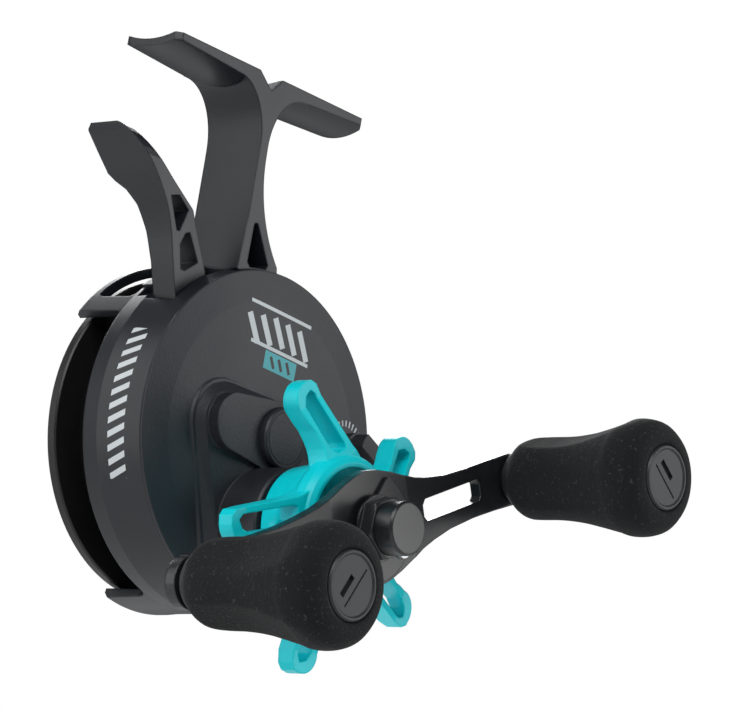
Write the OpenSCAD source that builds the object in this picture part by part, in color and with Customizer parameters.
// Inline ice fishing reel, free-fall type, with star drag and double handle.
// Origin: centre of the rod seat on top of the foot. +Z points up to the rod, +X points
// back along the rod, -X is the line and trigger side, and the handle is on -Y.

/* [Foot and stem] */
// Length of the rod foot along the rod
foot_len = 55.2; // [50:0.2:60]
// Width of the rod foot and of the stem
foot_w = 13.8; // [12:0.2:16]
// Depth of the hollow seat that the rod lies in
seat_sag = 0.95; // [0.5:0.05:1.2]
// Thickness of the stem at its waist
stem_t = 2.2; // [1.8:0.1:3]

/* [Body] */
// Height from the spool axis up to the rod seat
spool_drop = 68.9; // [66:0.1:72]
// Distance of the spool axis behind the middle of the foot
spool_back = 9.5; // [6:0.1:12]
// Radius of the seam between the housing and the side cover
seam_r = 32; // [31.5:0.1:33]
// Radius of the housing at its edge next to the line gap
housing_r = 33; // [32.5:0.1:34]
// Radius of the spool's palming rim
rim_r = 30.8; // [30.2:0.1:31]
// Wall thickness of the housing band
band_wall = 1; // [0.9:0.1:1.2]

/* [Gears] */
// Gear module
gear_m = 0.6; // [0.6]
// Teeth of the drive gear
drive_teeth = 42; // [40:1:43]
// Teeth of the pinion
pinion_teeth = 15; // [14:1:16]

/* [Handle and star] */
// Distance of each knob axis from the main shaft
knob_reach = 46.3; // [42:0.1:50]
// Angle of the handle above the rod line at rest
handle_turn = 24.8; // [0:0.1:90]
// Reach of the star arms
star_r = 27.4; // [25:0.1:28]
// Angle of the first star arm at rest
star_turn = 130.4; // [100:0.1:140]
// How far the line of a star arm passes beside the shaft axis
star_skew = 4.7; // [0:0.1:5]
// Largest diameter of a foam grip
grip_d = 22; // [20:0.2:24]

/* [Hidden] */
$fn = 96;

// Stations along the spool axis, from the far ring (+Y) to the handle (-Y)
ring_far = 17.4;
ring_near = 15;
gap_edge = 5.75;
wall_near = 3.95;
seam_y = -7.8;
plateau_y = -11.2;
island_y = -13.8;
cap_y = -15.3;
boss_y = -20.7;
// Main shaft, below the spool axis by the gears' centre distance
shaft_drop = gear_m * (drive_teeth + pinion_teeth) / 2;
chamber_r = seam_r - band_wall;
// Handle stations
arm_front = -39.7;
arm_t = 2.2;
arm_end_front = -36.6;
arm_end_t = 2.3;

// A point on a circle
function on(r, a) = [r * cos(a), r * sin(a)];
// Points of an arc from angle a to b
function arc(c, r, a, b, n) = [for (i = [0:n]) c + on(r, a + (b - a) * i / n)];
// Points of a quarter-like elliptic arc
function oval(c, rx, rz, a, b, n) =
    [for (i = [0:n]) let (t = a + (b - a) * i / n) c + [rx * cos(t), rz * sin(t)]];

// A smooth open curve through points (Catmull-Rom), with n steps from point to point
function curve(p, n) = [for (i = [0:len(p) - 2]) let (a = p[max(i - 1, 0)], b = p[i],
    c = p[i + 1], d = p[min(i + 2, len(p) - 1)]) for (k = [0:n - (i < len(p) - 2 ? 1 : 0)])
    let (t = k / n) 0.5 * (2 * b + (c - a) * t + (2 * a - 5 * b + 4 * c - d) * t * t
        + (3 * b - a - 3 * c + d) * t * t * t)];

// Places children on the spool axis, with local X and Z kept and turned about Y
module at_spool() translate([spool_back, 0, -spool_drop]) children();
module at_shaft() translate([spool_back, 0, -spool_drop - shaft_drop]) children();
// A disc or rod along Y between two stations
module rod(r, a, b) translate([0, max(a, b), 0]) rotate([90, 0, 0])
    cylinder(r = r, h = abs(b - a));
// A turned body about Y; its outline is given as [radius, y]
module turned(pts) rotate([90, 0, 0])
    rotate_extrude() polygon([for (p = pts) [p[0], -p[1]]]);
// An outline in X and Z, extruded along Y between two stations
module slab(a, b) translate([0, max(a, b), 0]) rotate([90, 0, 0])
    linear_extrude(abs(b - a)) children();
// A washer along Y
module washer(ro, ri, a, b) turned([[ri, a], [ro, a], [ro, b], [ri, b]]);
// A flat sector in X and Z
module sector(r, a, b) polygon(concat([[0, 0]], arc([0, 0], r, a, b, 24)));

// ---- Frame ----
// Windows between the housing and the far ring: start and end angle of each
line_gap = [146.5, 256];
top_window = [107, 139];
low_window = [279, 326];
rear_window = [346, 420];
// Radius of the hollow seat that leaves a flat rail along each edge
seat_r = (pow(foot_w / 2 - 1, 2) + pow(seat_sag, 2)) / (2 * seat_sag);
// Trigger slot through the band
trig_near = -4.1;
trig_far = 1.4;

module stem_outline() polygon(concat(
    [[-4.2, -0.01], [-0.4, -3], [2.4, -0.01]],
    [[foot_len / 2 - 17, -0.01], [foot_len / 2 - 17, -2.3]],
    oval([9.5, -14], -8.4, 11.6, 90, 0, 24),
    arc([stem_t / 2 + 28.5, -16], 28.5, 180, 223, 24),
    [[9.4, -38.6], [-2.1, -38.6], [-1.3, -28], [-stem_t / 2, -16]],
    oval([-9.5, -14], 8.4, 11.7, 0, 90, 24),
    [[-foot_len / 2 + 17, -2.3], [-foot_len / 2 + 17, -0.01]]));

// One wing of the foot: a blade with a bowed underside that thins towards its tip
module wing(side) {
    depth = side < 0 ? 2.3 : 3.2;
    bow_r = side < 0 ? 24.3 : 13.2;
    intersection() {
        slab(-foot_w / 2, foot_w / 2) polygon([[side * 4.4, 0], [side * foot_len / 2, 0],
            [side * foot_len / 2, -6], [side * 4.4, -6]]);
        translate([side * foot_len / 2, 0, bow_r - depth]) rotate([0, -side * 3, 0])
            rotate([0, 90, 0]) cylinder(r = bow_r, h = foot_len * 2, center = true);
        translate([0, 0, -8]) linear_extrude(9) wing_plan(side);
    }
}
module wing_plan(side) {
    corner = side < 0 ? 1.4 : 2.6;
    x = side * foot_len / 2;
    c = [x - side * corner, foot_w / 2 - corner];
    polygon(concat([[0, -foot_w / 2]],
        [[x - side * 1.2, -foot_w / 2], [x, -foot_w / 2 + 1.2]],
        [for (i = [0:8]) c + [side * corner * cos(90 * i / 8), corner * sin(90 * i / 8)]],
        [[0, foot_w / 2]]));
}

// Pocket in each side of the stem's root
module stem_pocket() polygon(concat(arc([1.35, -29.4], 0.7, 20, 170, 8),
    [[0.35, -36.6], [1.2, -37.4]], [[5.9, -36.6], [6.2, -35.8]]));

// Shell of the housing and of the far ring, with the wall between gears and spool. It is
// turned so that its seam lies in solid material, between two windows
shell_in = 31.5;
module band() turned([
    [chamber_r, seam_y], [seam_r, seam_y], [housing_r + 0.2, 2], [housing_r, gap_edge],
    [housing_r + 0.4, ring_far - 1], [housing_r - 0.6, ring_far], [shell_in, ring_far],
    [shell_in, gap_edge], [5.2, gap_edge], [5.2, wall_near], [chamber_r, wall_near]]);

// One end of a window: a cut straight through the shell at angle a, rounded by r at both
// corners, that reaches side * 4 mm round the shell
module window_end(a, side, y0, y1, r) rotate([0, -a, 0]) translate([24, 0, 0])
    rotate([0, 90, 0]) linear_extrude(16) mirror([side > 0 ? 1 : 0, 0])
        polygon(concat(arc([r, y0 + r], r, 180, 270, 8), [[4, y0], [4, y1]],
            arc([r, y1 - r], r, 90, 180, 8)));
// A window through the shell from angle a to b and from station y0 to y1
module shell_window(a, b, y0, y1, ra, rb) {
    slab(y0, y1) sector(40, a + 4.5, b - 4.5);
    window_end(a, 1, y0, y1, ra);
    window_end(b, -1, y0, y1, rb);
}

module frame() color("#26282b") difference() {
    union() {
        at_spool() difference() {
            union() {
                rotate([0, -268, 0]) band();
                // Cheek beside the trigger
                intersection() {
                    washer(housing_r + 0.7, 31.2, trig_far + 0.5, gap_edge - 0.2);
                    slab(0, gap_edge) sector(40, 112, 134);
                }
            }
            shell_window(line_gap[0], line_gap[1], gap_edge, ring_far + 6, 1.2, 2.7);
            shell_window(top_window[0], top_window[1], gap_edge, ring_near, 2.4, 1.6);
            shell_window(low_window[0], low_window[1], gap_edge + 1, ring_near, 2.4, 2.4);
            shell_window(rear_window[0], rear_window[1], gap_edge + 1, ring_near, 2.4, 2.4);
            // Step in front of the cheek
            slab(trig_far + 0.4, gap_edge - 1) difference() {
                sector(40, 133.9, 139.4);
                circle(r = 31.8);
            }
        }
        difference() {
            slab(-foot_w / 2, foot_w / 2) stem_outline();
            at_spool() rod(32.2, -10, 10);
        }
        for (side = [-1, 1]) wing(side);
    }
    // Hollow of the rod seat between its two flat rails
    translate([0, 0, seat_r - seat_sag]) rotate([0, 90, 0])
        cylinder(r = seat_r, h = foot_len + 2, center = true);
    for (s = [-1, 1]) slab(s * 0.9, s * foot_w) stem_pocket();
    at_spool() {
        rod(seam_r + 0.01, seam_y - 8, seam_y);
        // Slot that the trigger moves in
        slab(trig_near - 0.5, trig_far + 0.5) difference() {
            sector(34.5, 111, 140.8);
            circle(r = 24);
        }
        // Seat of the main shaft's bushing and holes of the cover screws
        translate([0, 0, -shaft_drop]) rod(3, wall_near - 1, gap_edge + 1);
        for (a = screw_angles) rotate([0, -a, 0]) translate([screw_r, 0, 0])
            rod(1.2, wall_near - 1, gap_edge + 1);
    }
}

// ---- Side cover ----
screw_r = 27.6;
screw_angles = [20, 160, 215, 325];
dome_t = 1.4;

// Lobes of the raised gear case: front lobe, spool lobe and main shaft lobe
lobe_x = -12.3;
module front_lobe(r, a, b) translate([lobe_x, 0, 0.2]) rod(r, a, b, $fn = 48);
module spool_lobe(r, a, b) rod(r, a, b, $fn = 48);
module shaft_lobe(r, a, b) translate([0, 0, -shaft_drop]) rod(r, a, b, $fn = 64);
module case_skirt() hull() {
    front_lobe(9, -9, -9.3);
    front_lobe(8.2, -9.9, -10);
    spool_lobe(8.6, -9, -9.9);
    shaft_lobe(14.6, -8.6, -8.9);
    shaft_lobe(13.9, -9.6, -9.7);
}
module case_shell() hull() {
    front_lobe(7.8, -9, -9.9);
    front_lobe(5.9, plateau_y + 0.1, plateau_y);
    spool_lobe(7.9, -9, -9.9);
    spool_lobe(7, -12.9, -13);
    shaft_lobe(13.6, -8.8, -9.4);
    shaft_lobe(11.4, plateau_y - 0.3, plateau_y - 0.4);
}
module island() hull() {
    front_lobe(5.5, plateau_y + 0.5, island_y);
    spool_lobe(7, plateau_y + 0.5, island_y);
}
module case_hollow(b) hull() {
    front_lobe(5, seam_y + 1, b);
    spool_lobe(6, seam_y + 1, b);
    shaft_lobe(11.4, seam_y + 1, b + 0.3);
}

module side_cover() color("#2b2d30") at_spool() difference() {
    union() {
        turned([[0, seam_y], [seam_r, seam_y], [seam_r, seam_y - 0.5], [26, -9.2],
            [18, -9.75], [9, -10], [0, -10.1]]);
        case_skirt();
        case_shell();
        island();
        translate([0, 0, -shaft_drop]) turned([[0, seam_y - 1], [11.4, seam_y - 1],
            [11.2, boss_y + 0.4], [10.8, boss_y], [0, boss_y]]);
        // Boss of the drop speed adjuster
        translate([adj_x, 0, adj_z]) turned([[0, -9], [4, -9], [3.7, -10.6], [3.4, -10.9],
            [0, -10.9]]);
        // Locating lip inside the seam
        washer(chamber_r - 0.05, chamber_r - 2, seam_y + 1.5, seam_y);
        for (a = screw_angles) rotate([0, -a, 0]) translate([screw_r, 0, 0])
            rod(2.6, wall_near - 0.02, seam_y);
    }
    // Hollow of the dome
    turned([[0, seam_y + 1], [24.3, seam_y + 1], [24.3, -7.95], [18, -8.4], [0, -8.7]]);
    case_hollow(plateau_y + 1.3);
    // Spool bearing seat and its cap seat
    rod(3.6, plateau_y + 2, -12.6);
    rod(2.4, -13, -12.2);
    rod(5.9, -12.9, cap_y - 1);
    // Main boss: seats of the one-way clutch and of the outer bearing
    translate([0, 0, -shaft_drop]) {
        rod(7, seam_y, -15.4);
        rod(5.2, -15, -17);
        rod(6.5, -16.8, boss_y - 1);
    }
    translate([adj_x, 0, adj_z]) rod(1.5, seam_y + 1, -12);
    for (a = screw_angles) rotate([0, -a, 0]) translate([screw_r, 0, 0])
        rod(0.8, wall_near + 1, seam_y + 3);
}

// Screws go in from the spool side, through the housing wall into the cover's posts
module cover_screws() color("#8d9196") at_spool() for (a = screw_angles)
    rotate([0, -a, 0]) translate([screw_r, 0, 0]) difference() {
        union() {
            rod(1.9, gap_edge + 0.02, gap_edge + 0.7);
            rod(0.8, gap_edge + 0.1, seam_y + 3.2);
        }
        rod(0.9, gap_edge + 0.35, gap_edge + 1, $fn = 6);
    }

module bearing_cap() color("#303236") at_spool() difference() {
    turned([[0, -12.95], [5.85, -12.95], [5.85, cap_y + 0.35], [5.5, cap_y], [5.05, cap_y],
        [4.95, cap_y + 0.12], [4.85, cap_y], [0, cap_y]]);
    rod(2.6, -12, -14.2);
}

// ---- Bearings ----
// A shielded ball bearing: outer ring, shield groove and inner ring in one closed solid
module bearing(ro, ri, a, b) turned([[ri, a], [ri + 0.7, a], [ri + 0.9, a + 0.2],
    [ro - 0.9, a + 0.2], [ro - 0.7, a], [ro, a], [ro, b], [ro - 0.7, b],
    [ro - 0.9, b - 0.2], [ri + 0.9, b - 0.2], [ri + 0.7, b], [ri, b]]);

module spool_bearing_outer() color("#b9bdc2") at_spool() bearing(3.6, 1.55, -12.2, -9.8);
module spool_bearing_inner() color("#b9bdc2") at_spool() bearing(5.2, 2.55, wall_near + 0.1,
    gap_edge - 0.1);
module shaft_bearing() color("#b9bdc2") at_shaft() bearing(6.5, 3.05, boss_y + 0.5, -17.4);
module shaft_bushing() color("#a8894f") at_shaft() turned([[1.55, wall_near - 1],
    [4, wall_near - 1], [4, wall_near], [3, wall_near], [3, gap_edge - 0.4],
    [1.55, gap_edge - 0.4]]);
module anti_reverse_clutch() color("#7d8288") at_shaft() washer(7, 3.05, -15.4, -10.4);

// ---- Gears ----
// Half of a tooth space angle set by the pitch thickness less backlash
function inv(a) = tan(a) * 180 / PI - a;
module gear_outline(teeth, slack) {
    pr = gear_m * teeth / 2;
    br = pr * cos(20);
    tip = pr + 0.92 * gear_m;
    root = pr - 1.2 * gear_m;
    half = 90 / teeth - slack / pr * 90 / PI + inv(20);
    steps = 4;
    low = max(br, root);
    radii = [for (i = [0:steps]) low + (tip - low) * i / steps];
    function turn_at(r) = half - inv(acos(min(1, br / r)));
    polygon([for (t = [0:teeth - 1]) let (c = 360 * t / teeth) each concat(
        [on(root, c - turn_at(low) - 0.4 * 90 / teeth)], 
        [for (r = radii) on(r, c - turn_at(r))],
        [for (i = [0:steps]) let (r = radii[steps - i]) on(r, c + turn_at(r))],
        [on(root, c + turn_at(low) + 0.4 * 90 / teeth)])]);
}

gear_near = -5;
gear_far = -1;
module drive_gear() color("#c9a55a") at_shaft() difference() {
    union() {
        rotate([0, -90 - 180 / drive_teeth, 0]) slab(gear_near, gear_far)
            gear_outline(drive_teeth, 0.1);
    }
    rod(2.4, gear_far + 1, gear_near - 1);
    rod(9.4, gear_near - 1, gear_near + 1.6);
}
module pinion_gear() color("#b98f3f") at_spool() difference() {
    union() {
        rotate([0, 90, 0]) slab(gear_near - 0.5, gear_far + 0.5)
            gear_outline(pinion_teeth, 0.1);
        rod(3.4, gear_far + 0.5, -0.25);
        rod(2.7, -0.3, 1.4);
        rod(3.6, 1.4, 2.6);
    }
    rod(1.55, 3, gear_near - 2);
}

// ---- Spool ----
spool_near = 7;
spool_far = 16.6;
module spool() color("#1d1f21") at_spool() difference() {
    turned([[1.55, spool_near + 0.1], [6, spool_near], [28.5, spool_near],
        [29.5, spool_near + 0.5], [29.5, spool_near + 1.1], [25, spool_near + 1.7],
        [22, spool_near + 2.8], [22, ring_near - 1.6], [25, ring_near - 0.6],
        [29.6, ring_near - 0.1], [rim_r - 0.3, ring_near], [rim_r, ring_near + 0.3],
        [rim_r, ring_far - 0.5], [rim_r - 0.5, ring_far], [28.8, ring_far],
        [28.2, ring_far - 0.8], [24, ring_far - 1.2], [20.6, ring_far - 2.2],
        [20.2, spool_near + 1.6], [7, spool_near + 1.6], [6.4, spool_far - 3],
        [5.4, spool_far - 2.4], [1.55, spool_far - 2.4]]);
    // Lightening holes through the arbor's web
    for (i = [0:7]) rotate([0, 45 * i, 0]) translate([13.6, 0, 0])
        rod(3.8, spool_near - 1, spool_near + 3);
    // Line holes through the arbor
    for (i = [0:11]) rotate([0, 30 * i + 15, 0]) translate([18, (spool_near + spool_far) / 2, 0])
        rotate([0, 90, 0]) cylinder(r = 1.5, h = 5, $fn = 24);
}
module spool_shaft() color("#c3c7cb") at_spool() {
    rod(1.5, -12.15, -7);
    rod(1.55, -7, 2.9);
    rod(2.5, 2.9, 6.6);
    rod(1.55, 6.6, 15.6);
}
module spool_nut() color("#3a3d41") at_spool() difference() {
    union() {
        turned([[1.55, 14.2], [5, 14.2], [5.4, 14.6], [5.4, 16.2], [4.9, 16.7], [0, 16.7],
            [0, 15.6], [1.55, 15.6]]);
    }
    for (i = [0:11]) rotate([0, 30 * i, 0]) translate([5.9, 0, 0]) rod(0.8, 14, 17, $fn = 24);
    translate([0, 16.9, 0]) cube([7.4, 1.2, 1.1], center = true);
}

// ---- Main shaft and drag ----
module main_shaft() color("#b5b9be") at_shaft() difference() {
    union() {
        rod(1.5, gap_edge - 0.5, gear_far + 0.8);
        rod(4.6, gear_far + 0.1, gear_far + 1);
        rod(2.35, gear_far + 0.1, -8.6);
        rod(3, -8.6, -36.8);
        rod(2.4, -36.8, -46.6);
    }
    // Flats that the pressure plate and the arm sit on
    for (s = [-1, 1]) translate([s * 4.2, -30.5, 0]) cube([4.4, 12.7, 9], center = true);
    for (s = [-1, 1]) translate([s * 3.4, -40, 0]) cube([3, 6.6, 9], center = true);
}
module drag_washers() color("#2e3134") at_shaft() {
    washer(9.1, 2.6, gear_near + 1.58, gear_near + 1.1);
    washer(9.1, 2.6, gear_near - 0.1, gear_near - 0.55);
}
module pressure_plate() color("#9ea3a8") at_shaft() {
    washer(9.1, 2.4, gear_near + 1.08, gear_near - 0.08);
    turned([[2.45, gear_near - 0.57], [9.1, gear_near - 0.57], [9.1, gear_near - 1.4],
        [4.6, gear_near - 1.9], [4.6, gear_near - 3.5], [2.45, gear_near - 3.5]]);
}
// Cupped washers between the star and the one-way clutch sleeve
module star_spring() color("#aeb2b6") at_shaft() {
    turned([[3.1, -21.2], [5.4, -20.85], [5.4, -21.15], [3.1, -21.5]]);
}

// ---- Star drag wheel ----
star_tip_front = -30.4;
star_root_front = -34.2;
star_arm_t = 3.8;
module star_arm_plan() translate([0, -star_skew]) polygon(concat(
    [[3, -5.4], [8, -4.4], [13, -3.3], [star_r - 1.6, -3.1], [star_r - 0.4, -2.2]],
    [[star_r, -0.6]], arc([star_r - 3.4, 0], 3.4, 0, 90, 10), [[star_r - 6.5, 3.2]],
    curve([[19, 2.9], [15.5, 3.4], [12.4, 5.2], [8.5, 8.6]], 3), [[3, 9]]));
// Side view of an arm: it leans back towards the body as it runs out
module star_arm_side() polygon([[8, star_root_front], [12, star_root_front],
    [star_r - 4, star_tip_front], [star_r, star_tip_front + 0.3],
    [star_r, star_tip_front + star_arm_t - 0.3], [star_r - 4, star_tip_front + star_arm_t],
    [12, star_root_front + star_arm_t + 0.8], [8, star_root_front + star_arm_t + 1]]);
module star_arm() intersection() {
    slab(-36, -24) star_arm_plan();
    translate([0, 0, -12]) linear_extrude(24) star_arm_side();
}
module star_window() translate([0, -star_skew]) polygon([[13.3, -1.5], [14.2, -1.9],
    [star_r - 3, -1.9], [star_r - 1.9, -1.1], [star_r - 2.4, 0.6], [star_r - 4, 1.7],
    [15, 1.9], [13.5, 0.9]]);
module star_wheel() color("#13d2d6") at_shaft() difference() {
    union() {
        turned([[0, -21.9], [10.6, -21.9], [11.4, -22.4], [12, -26.4], [12.8, -29.9],
            [13.6, -31.4], [13.7, -33.4], [13, -34.6], [12, -35.2], [0, -35.2]]);
        for (i = [0:4]) rotate([0, -star_turn + 72 * i, 0]) star_arm();
    }
    for (i = [0:4]) rotate([0, -star_turn + 72 * i, 0]) slab(-36, -24) star_window();
    // Bore, front dish and back recess
    rod(3.05, -20, -36);
    turned([[0, -36], [11.4, -36], [11.2, -35], [6.6, -31.4], [0, -31.4]]);
    rod(5.8, -21, -24.2);
    // Shallow flutes round the drum
    for (i = [0:19]) rotate([0, 18 * i + 9, 0]) translate([12.7, 0, 0])
        rod(1, -21, -26.4, $fn = 24);
}

// ---- Handle ----
module at_handle() at_shaft() rotate([0, -handle_turn, 0]) children();
// Half outline of the arm: half width over the distance from the shaft
arm_half = [[0, 10.7], [3, 10.3], [6.5, 9.3], [10, 8], [14, 6.7], [18, 5.9], [24, 5.1], [32, 4.8],
    [40, 4.85], [knob_reach, 5]];
module arm_plan() polygon(concat(arm_half,
    arc([knob_reach, 0], 4.8, 90, -90, 16),
    [for (i = [len(arm_half) - 1:-1:0]) [arm_half[i][0], -arm_half[i][1]]]));
// Side view of one arm, with x along the arm and the sweep back to the knob
module arm_side() polygon([[0, arm_front], [11, arm_front], [15, arm_front + 0.5],
    [34, arm_end_front - 0.3], [39, arm_end_front], [60, arm_end_front],
    [60, arm_end_front + arm_end_t], [39, arm_end_front + arm_end_t],
    [34, arm_end_front + arm_end_t - 0.3], [15, arm_front + arm_t + 0.6],
    [11, arm_front + arm_t], [0, arm_front + arm_t]]);
module arm_slot() polygon([[16.6, -2.1], [15.6, -1.1], [15.6, 1.1], [16.6, 2.1],
    [35, 2.1], [35.9, 1.2], [35.9, -1.2], [35, -2.1]]);
module half_arm() difference() {
    intersection() {
        slab(-45, -25) arm_plan();
        translate([0, 0, -20]) linear_extrude(40) arm_side();
    }
    slab(-45, -25) arm_slot();
    translate([knob_reach, 0, 0]) rod(1.9, -25, -45);
}
module handle_arm() color("#1c1d1f") at_handle() difference() {
    union() {
        half_arm();
        mirror([1, 0, 0]) half_arm();
    }
    difference() {
        rod(2.45, -30, -45);
        for (s = [-1, 1]) rotate([0, handle_turn, 0]) translate([s * 3.45, -38, 0])
            cube([3, 12, 9], center = true);
    }
}
module keeper_plan() difference() {
    circle(r = 9.9);
    rotate(38) translate([-22, 3.6]) square([44, 12]);
}
module keeper_plate() color("#222427") at_handle() difference() {
    slab(arm_front - 0.02, arm_front - 0.85) keeper_plan();
    rod(2.5, -37, -42);
    translate([6.3, 0, -5.2]) rod(1.1, -37, -42);
}
module keeper_screw() color("#53575c") at_handle() translate([6.3, 0, -5.2]) difference() {
    union() {
        turned([[0, arm_front - 0.87], [1.9, arm_front - 0.87], [1.7, arm_front - 1.5],
            [0, arm_front - 1.7]]);
        rod(1, arm_front - 1, arm_front - 0.05);
    }
    translate([0, arm_front - 1.8, 0]) cube([4, 0.8, 0.5], center = true);
}
module handle_nut() color("#2c2e31") at_handle() difference() {
    union() {
        rod(6.2, arm_front - 0.87, arm_front - 1.4);
        intersection() {
            rod(6.05, arm_front - 1.3, arm_front - 4.2, $fn = 6);
            turned([[0, arm_front - 1], [6.3, arm_front - 1], [6.3, arm_front - 3.6],
                [5.4, arm_front - 4.2], [0, arm_front - 4.2]]);
        }
    }
    rod(2.45, arm_front, arm_front - 5);
}
module nut_cap() color("#34373a") at_handle() difference() {
    turned([[0, arm_front - 4.22], [5, arm_front - 4.22], [5, -47.6], [4.6, -48], [0, -48]]);
    rod(2.45, arm_front - 4, -46.7);
}

// ---- Knobs ----
cap_end = -73;
module at_knob(side) at_handle() translate([side * knob_reach, 0, 0]) children();
// Riveted spindle: head behind the arm, collar, journal and end head
module spindle() {
    rod(3.4, arm_end_front + arm_end_t + 0.02, arm_end_front + arm_end_t + 0.6);
    rod(1.85, arm_end_front + arm_end_t + 0.1, arm_end_front - 0.1);
    rod(2.4, arm_end_front - 0.02, arm_end_front - 0.6);
    rod(1.5, arm_end_front - 0.5, -66);
    rod(2.4, -66, -66.8);
}
module bushing() washer(3.2, 1.56, -39.5, -44.5);
module knob_core() difference() {
    turned([[2.45, -37.2], [4.3, -37.2], [4.5, -38], [5.3, -38.3], [5.3, -39.4], [4.8, -39.6],
        [4.8, -70.4], [1.8, -70.4],
        [1.8, -38.2], [2.45, -38.2]]);
    rod(3.2, -39.5, -44.5);
    rod(2.8, -64.5, -72);
}
// Foam grip: waisted near its base and flared towards its end
module grip() {
    r = grip_d / 2 + 0.1;
    turned([[4.85, -39.6], [5.4, -39.6], [6.3, -40], [7.2, -41], [7.8, -42.6], [8, -45],
        [8.1, -50], [8.5, -54.5], [9.3, -59], [10.3, -63.6], [r, -67.2], [r - 0.2, -69.2],
        [9.9, -71.2], [8.3, -72.4], [6.6, -72.7], [6.2, -71.4], [4.85, -71.4]]);
}
module knob_cap() difference() {
    turned([[0, -70.5], [4.8, -70.5], [4.8, -71.5], [6.1, -71.5], [6.15, -72.7],
        [5.9, cap_end - 0.1], [5.5, cap_end - 0.1], [5.2, cap_end + 0.15], [0, cap_end + 0.15]]);
    translate([-1, cap_end + 0.1, 1]) cube([4.4, 1.4, 1.1], center = true);
    translate([0.2, cap_end, -0.9]) cube([8.4, 0.8, 0.3], center = true);
}
module front_spindle() color("#8f9398") at_knob(-1) spindle();
module front_bushing() color("#a8894f") at_knob(-1) bushing();
module front_knob_core() color("#2a2c2f") at_knob(-1) knob_core();
module front_grip() color("#232323") at_knob(-1) grip();
module front_knob_cap() color("#3c3f43") at_knob(-1) rotate([0, -35, 0]) knob_cap();
module rear_spindle() color("#8f9398") at_knob(1) spindle();
module rear_bushing() color("#a8894f") at_knob(1) bushing();
module rear_knob_core() color("#2a2c2f") at_knob(1) knob_core();
module rear_grip() color("#232323") at_knob(1) grip();
module rear_knob_cap() color("#3c3f43") at_knob(1) rotate([0, 60, 0]) knob_cap();

// ---- Trigger ----
pin_x = -18.5;
pin_z = 18;
tip = [-32.4, -18.5];
// Side view in the row's own X and Z
module trigger_side() polygon(concat(
    curve([tip, [-30.9, -18.4], [-27.8, -20.7], [-24.3, -23.2], [-20.7, -25.8], [-16.8, -28.3],
        [-13.9, -30.1]], 4),
    curve([[-13.4, -30.5], [-11.7, -33.8], [-8.3, -39.6], [-6.6, -43.5], [-5.6, -47.5],
        [-5.2, -51], [-6.6, -54.2], [-9.2, -55.2], [-12, -53.4], [-13.5, -50.6]], 4),
    curve([[-14.4, -47.9], [-15.7, -44.2], [-17, -40.2], [-18.4, -35.8], [-20.4, -31.5],
        [-22.8, -28.3], [-25.1, -25.8], [-27.9, -23.3], [-31.6, -19.9]], 4)));
// Front view: its width over its height
module trigger_front() polygon(concat([[trig_near, -60], [trig_near, -25]],
    oval([2.4, -25], -6.5, 6.8, 0, 90, 8), [[7, -18.2]],
    [[8.3, -19.5], [8.3, -26], [7.2, -27.2], [5.2, -28.6], [3.6, -31], [2.3, -35.5], [1.5, -41],
    [trig_far, -48], [trig_far, -60]]));
module trigger_lever() color("#222426") difference() {
    intersection() {
        slab(-10, 12) trigger_side();
        rotate([90, 0, 90]) translate([0, 0, -45]) linear_extrude(60) trigger_front();
    }
    slab(-10, 12) polygon([[-19.9, -29.4], [-17.7, -28.7], [-14.6, -30.8], [-16.1, -35.2],
        [-17, -35.3]]);
    slab(-10, 12) polygon([[-14.5, -35.2], [-13.4, -34.7], [-10, -39.6], [-13.2, -42.1],
        [-14.3, -42.1], [-15.5, -37.6]]);
    at_spool() translate([pin_x, 0, pin_z]) rod(1.25, -10, 12);
}
module trigger_pin() color("#b5b9be") at_spool() translate([pin_x, 0, pin_z])
    rod(1.2, -7.2, wall_near - 0.05);
module trigger_spring() color("#9a9ea3") at_spool() translate([pin_x, 0, pin_z])
    for (i = [0:3]) washer(2.6, 1.7, trig_far + 0.3 + 0.5 * i, trig_far + 0.7 + 0.5 * i);

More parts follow.
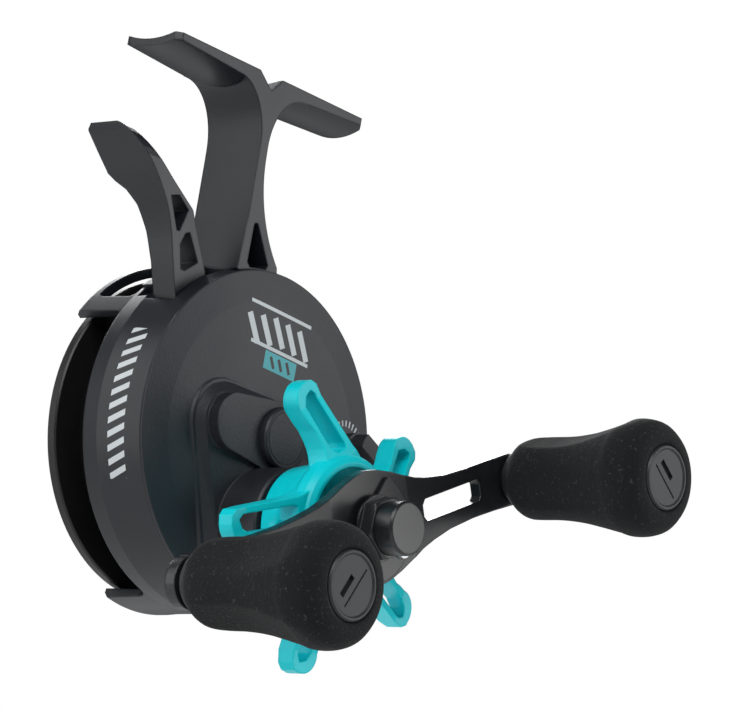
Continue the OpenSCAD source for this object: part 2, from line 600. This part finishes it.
// ---- Clutch ----
module yoke_plan() difference() {
    union() {
        circle(r = 5.4);
        rotate(53) translate([-2, 0]) square([4, 18.4]);
        translate([-9.4, -2.2]) square([18.8, 4.4]);
    }
    circle(r = 3.05);
    translate([-3.05, -8]) square([6.1, 8]);
}
module clutch_yoke() color("#70757b") at_spool() difference() {
    slab(0.35, 1.25) yoke_plan();
    for (s = [-1, 1]) translate([s * 7.6, 0, 0]) rod(0.85, 0, 2);
}
module yoke_pins() color("#b5b9be") at_spool() for (s = [-1, 1])
    translate([s * 7.6, 0, 0]) rod(0.8, -4.5, wall_near - 0.02);
module yoke_springs() color("#9a9ea3") at_spool() for (s = [-1, 1], i = [0:3])
    translate([s * 7.6, 0, 0]) washer(1.5, 1, -0.25 - 0.9 * i, -0.75 - 0.9 * i);

// ---- Drop speed adjuster ----
adj_x = 23.4;
adj_z = 3;
module at_adjuster() at_spool() translate([adj_x, 0, adj_z]) children();
module drop_speed_knob() color("#1f2124") at_adjuster() difference() {
    union() {
        rod(4, -11.2, -13.2);
        rod(3, -13.2, -14.4);
        intersection() {
            rod(4.2, -14.4, -17.6);
            translate([0, -16, 0]) rotate([0, 24, 0]) cube([9, 4, 3.1], center = true);
        }
    }
    rod(1.25, -11, -15.4);
}
module drop_speed_screw() color("#b5b9be") at_adjuster() rod(1.25, -15.4, -6.4);
module brake_pad() color("#5b4a36") at_adjuster() rod(2.4, -4.6, -2.6);
module brake_spring() color("#9a9ea3") at_adjuster() for (i = [0:3])
    washer(1.9, 1.4, -4.75 - 0.4 * i, -5 - 0.4 * i);

frame();
side_cover();
cover_screws();
bearing_cap();
spool_bearing_outer();
spool_bearing_inner();
shaft_bearing();
shaft_bushing();
anti_reverse_clutch();
trigger_lever();
trigger_pin();
trigger_spring();
clutch_yoke();
yoke_pins();
yoke_springs();
spool();
spool_shaft();
spool_nut();
pinion_gear();
drive_gear();
main_shaft();
drag_washers();
pressure_plate();
star_spring();
star_wheel();
handle_arm();
keeper_plate();
keeper_screw();
handle_nut();
nut_cap();
front_spindle();
front_bushing();
front_knob_core();
front_grip();
front_knob_cap();
rear_spindle();
rear_bushing();
rear_knob_core();
rear_grip();
rear_knob_cap();
drop_speed_knob();
drop_speed_screw();
brake_pad();
brake_spring();
